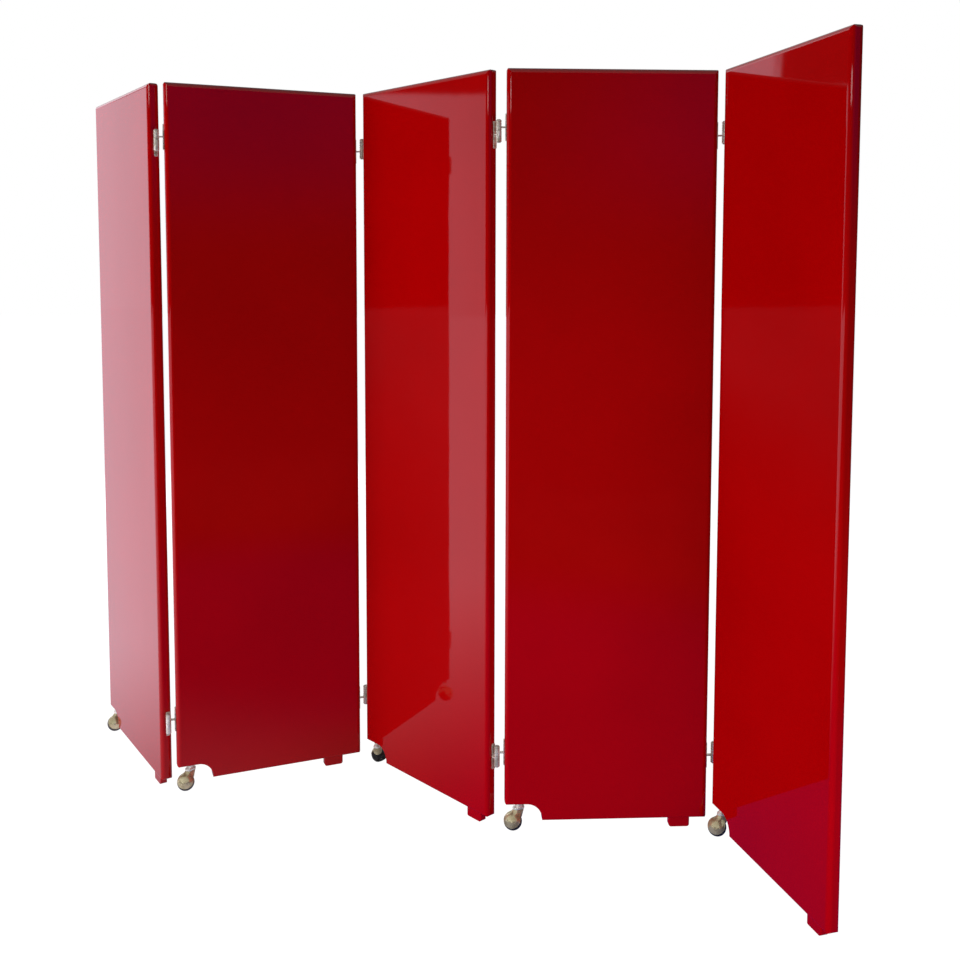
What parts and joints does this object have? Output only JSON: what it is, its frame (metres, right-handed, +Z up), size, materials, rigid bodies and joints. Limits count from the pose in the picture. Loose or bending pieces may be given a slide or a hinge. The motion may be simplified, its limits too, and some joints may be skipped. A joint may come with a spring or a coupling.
{
  "type": "folding room divider",
  "caption": "Folding room divider of tall lacquered panels joined by pin hinges, each standing on a hooded ball caster and a foot block.",
  "frame": {"origin": "middle of the standing screen's box in plan, on the floor", "axes": "+Z up; +X to the right and +Y away from a viewer who looks at the screen's front; the screen runs along X in a zigzag"},
  "size_m": [1.8476, 1.1028, 1.845],
  "materials": {
    "lacquer": "gloss lacquer",
    "hinge_brass": "aged satin",
    "screw_brass": "aged satin",
    "screw_steel": "satin",
    "neck_metal": "bright",
    "hood_brass": "aged gloss",
    "wheel_black": "satin"
  },
  "bodies": {
    "leaf_1": {"panel_1": "lacquer", "foot_1": "lacquer", "foot_1_screws": "screw_steel", "caster_1_socket": "screw_steel", "panel_1_hinge_screws": "screw_brass", "hinge_1_2_left_leaves": "hinge_brass", "hinge_1_2_pins": "screw_steel"},
    "leaf_2": {"panel_2": "lacquer", "foot_2": "lacquer", "foot_2_screws": "screw_steel", "caster_2_socket": "screw_steel", "panel_2_hinge_screws": "screw_brass", "hinge_2_3_left_leaves": "hinge_brass", "hinge_2_3_pins": "screw_steel", "hinge_1_2_right_leaves": "hinge_brass"},
    "leaf_3": {"panel_3": "lacquer", "foot_3": "lacquer", "foot_3_screws": "screw_steel", "caster_3_socket": "screw_steel", "panel_3_hinge_screws": "screw_brass", "hinge_3_4_left_leaves": "hinge_brass", "hinge_3_4_pins": "screw_steel", "hinge_2_3_right_leaves": "hinge_brass"},
    "leaf_4": {"panel_4": "lacquer", "foot_4": "lacquer", "foot_4_screws": "screw_steel", "caster_4_socket": "screw_steel", "panel_4_hinge_screws": "screw_brass", "hinge_4_5_left_leaves": "hinge_brass", "hinge_4_5_pins": "screw_steel", "hinge_3_4_right_leaves": "hinge_brass"},
    "leaf_5": {"panel_5": "lacquer", "foot_5": "lacquer", "foot_5_screws": "screw_steel", "caster_5_socket": "screw_steel", "panel_5_hinge_screws": "screw_brass", "hinge_4_5_right_leaves": "hinge_brass"},
    "caster_1_fork": {"caster_1_stem": "neck_metal", "caster_1_hood": "hood_brass", "caster_1_axle": "screw_steel"},
    "caster_1_roller": {"caster_1_wheel": "wheel_black"},
    "caster_2_fork": {"caster_2_stem": "neck_metal", "caster_2_hood": "hood_brass", "caster_2_axle": "screw_steel"},
    "caster_2_roller": {"caster_2_wheel": "wheel_black"},
    "caster_3_fork": {"caster_3_stem": "neck_metal", "caster_3_hood": "hood_brass", "caster_3_axle": "screw_steel"},
    "caster_3_roller": {"caster_3_wheel": "wheel_black"},
    "caster_4_fork": {"caster_4_stem": "neck_metal", "caster_4_hood": "hood_brass", "caster_4_axle": "screw_steel"},
    "caster_4_roller": {"caster_4_wheel": "wheel_black"},
    "caster_5_fork": {"caster_5_stem": "neck_metal", "caster_5_hood": "hood_brass", "caster_5_axle": "screw_steel"},
    "caster_5_roller": {"caster_5_wheel": "wheel_black"}
  },
  "joints": [
    {"name": "fold_2_3", "type": "hinge", "parent": "leaf_3", "child": "leaf_2", "pos_m": [-0.13175, 0.31924, 0.935], "axis": [0, 0, 1], "range_deg": [-169.7, 30.3]},
    {"name": "fold_1_2", "type": "hinge", "parent": "leaf_2", "child": "leaf_1", "pos_m": [-0.62858, 0.11547, 0.935], "axis": [0, 0, -1], "range_deg": [-178.7, 21.3]},
    {"name": "fold_3_4", "type": "hinge", "parent": "leaf_3", "child": "leaf_4", "pos_m": [0.23173, -0.07605, 0.935], "axis": [0, 0, 1], "range_deg": [-150, 50]},
    {"name": "fold_4_5", "type": "hinge", "parent": "leaf_4", "child": "leaf_5", "pos_m": [0.76818, -0.05169, 0.935], "axis": [0, 0, -1], "range_deg": [-176.5, 23.5]},
    {"name": "caster_1_swivel", "type": "hinge", "parent": "leaf_1", "child": "caster_1_fork", "pos_m": [-0.89615, 0.51819, 0.066], "axis": [0, 0, 1], "continuous": true},
    {"name": "caster_1_spin", "type": "hinge", "parent": "caster_1_fork", "child": "caster_1_roller", "pos_m": [-0.90029, 0.50273, 0.0225], "axis": [0.383, -0.6634, 0.6428], "continuous": true},
    {"name": "caster_2_swivel", "type": "hinge", "parent": "leaf_2", "child": "caster_2_fork", "pos_m": [-0.57909, 0.13577, 0.066], "axis": [0, 0, 1], "continuous": true},
    {"name": "caster_2_spin", "type": "hinge", "parent": "caster_2_fork", "child": "caster_2_roller", "pos_m": [-0.58849, 0.12283, 0.0225], "axis": [0.1198, -0.7566, 0.6428], "continuous": true},
    {"name": "caster_3_swivel", "type": "hinge", "parent": "leaf_3", "child": "caster_3_fork", "pos_m": [-0.09553, 0.27986, 0.066], "axis": [0, 0, 1], "continuous": true},
    {"name": "caster_3_spin", "type": "hinge", "parent": "caster_3_fork", "child": "caster_3_roller", "pos_m": [-0.09166, 0.29538, 0.0225], "axis": [-0.3945, 0.6566, 0.6428], "continuous": true},
    {"name": "caster_4_swivel", "type": "hinge", "parent": "leaf_4", "child": "caster_4_fork", "pos_m": [0.28518, -0.07362, 0.066], "axis": [0, 0, 1], "continuous": true},
    {"name": "caster_4_spin", "type": "hinge", "parent": "caster_4_fork", "child": "caster_4_roller", "pos_m": [0.27105, -0.08113, 0.0225], "axis": [-0.224, -0.7326, 0.6428], "continuous": true},
    {"name": "caster_5_swivel", "type": "hinge", "parent": "leaf_5", "child": "caster_5_fork", "pos_m": [0.78302, -0.10309, 0.066], "axis": [0, 0, 1], "continuous": true},
    {"name": "caster_5_spin", "type": "hinge", "parent": "caster_5_fork", "child": "caster_5_roller", "pos_m": [0.76798, -0.10856, 0.0225], "axis": [-0.3237, -0.6943, 0.6428], "continuous": true}
  ]
}
